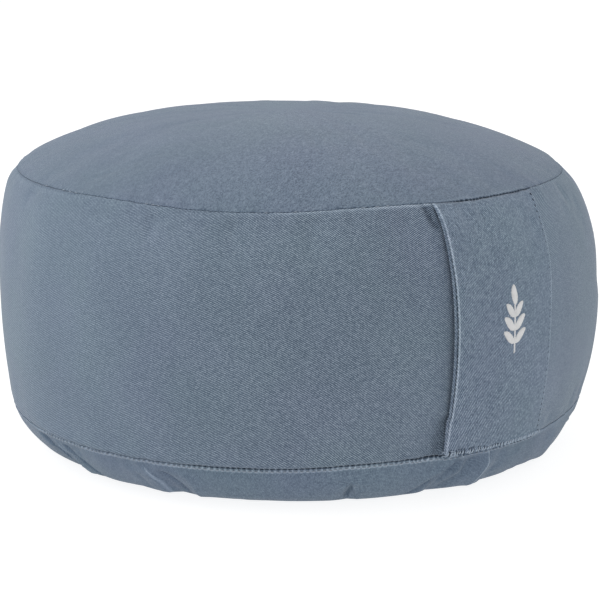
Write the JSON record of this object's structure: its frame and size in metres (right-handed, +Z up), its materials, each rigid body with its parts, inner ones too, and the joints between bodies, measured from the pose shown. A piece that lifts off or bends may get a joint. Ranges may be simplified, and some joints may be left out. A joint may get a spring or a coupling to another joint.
{
  "type": "round meditation cushion with a carry handle",
  "caption": "Firm round floor cushion for yoga and meditation: crowned top, bulging side band, tucked foot with a flat base, and a flat fabric carry handle sewn from seam to seam on its side.",
  "frame": {"origin": "the middle of the flat base, on the floor", "axes": "+Z up out of the crown, -Y out through the middle of the carry handle"},
  "size_m": [0.33, 0.3335, 0.1805],
  "materials": {
    "top_twill": "matt cotton twill",
    "band_twill": "matt cotton twill",
    "base_twill": "matt cotton twill",
    "handle_twill": "matt cotton twill"
  },
  "bodies": {
    "root": {"top_panel": "top_twill", "filled_band": "band_twill", "base_panel": "base_twill", "handle": "handle_twill"}
  },
  "joints": []
}
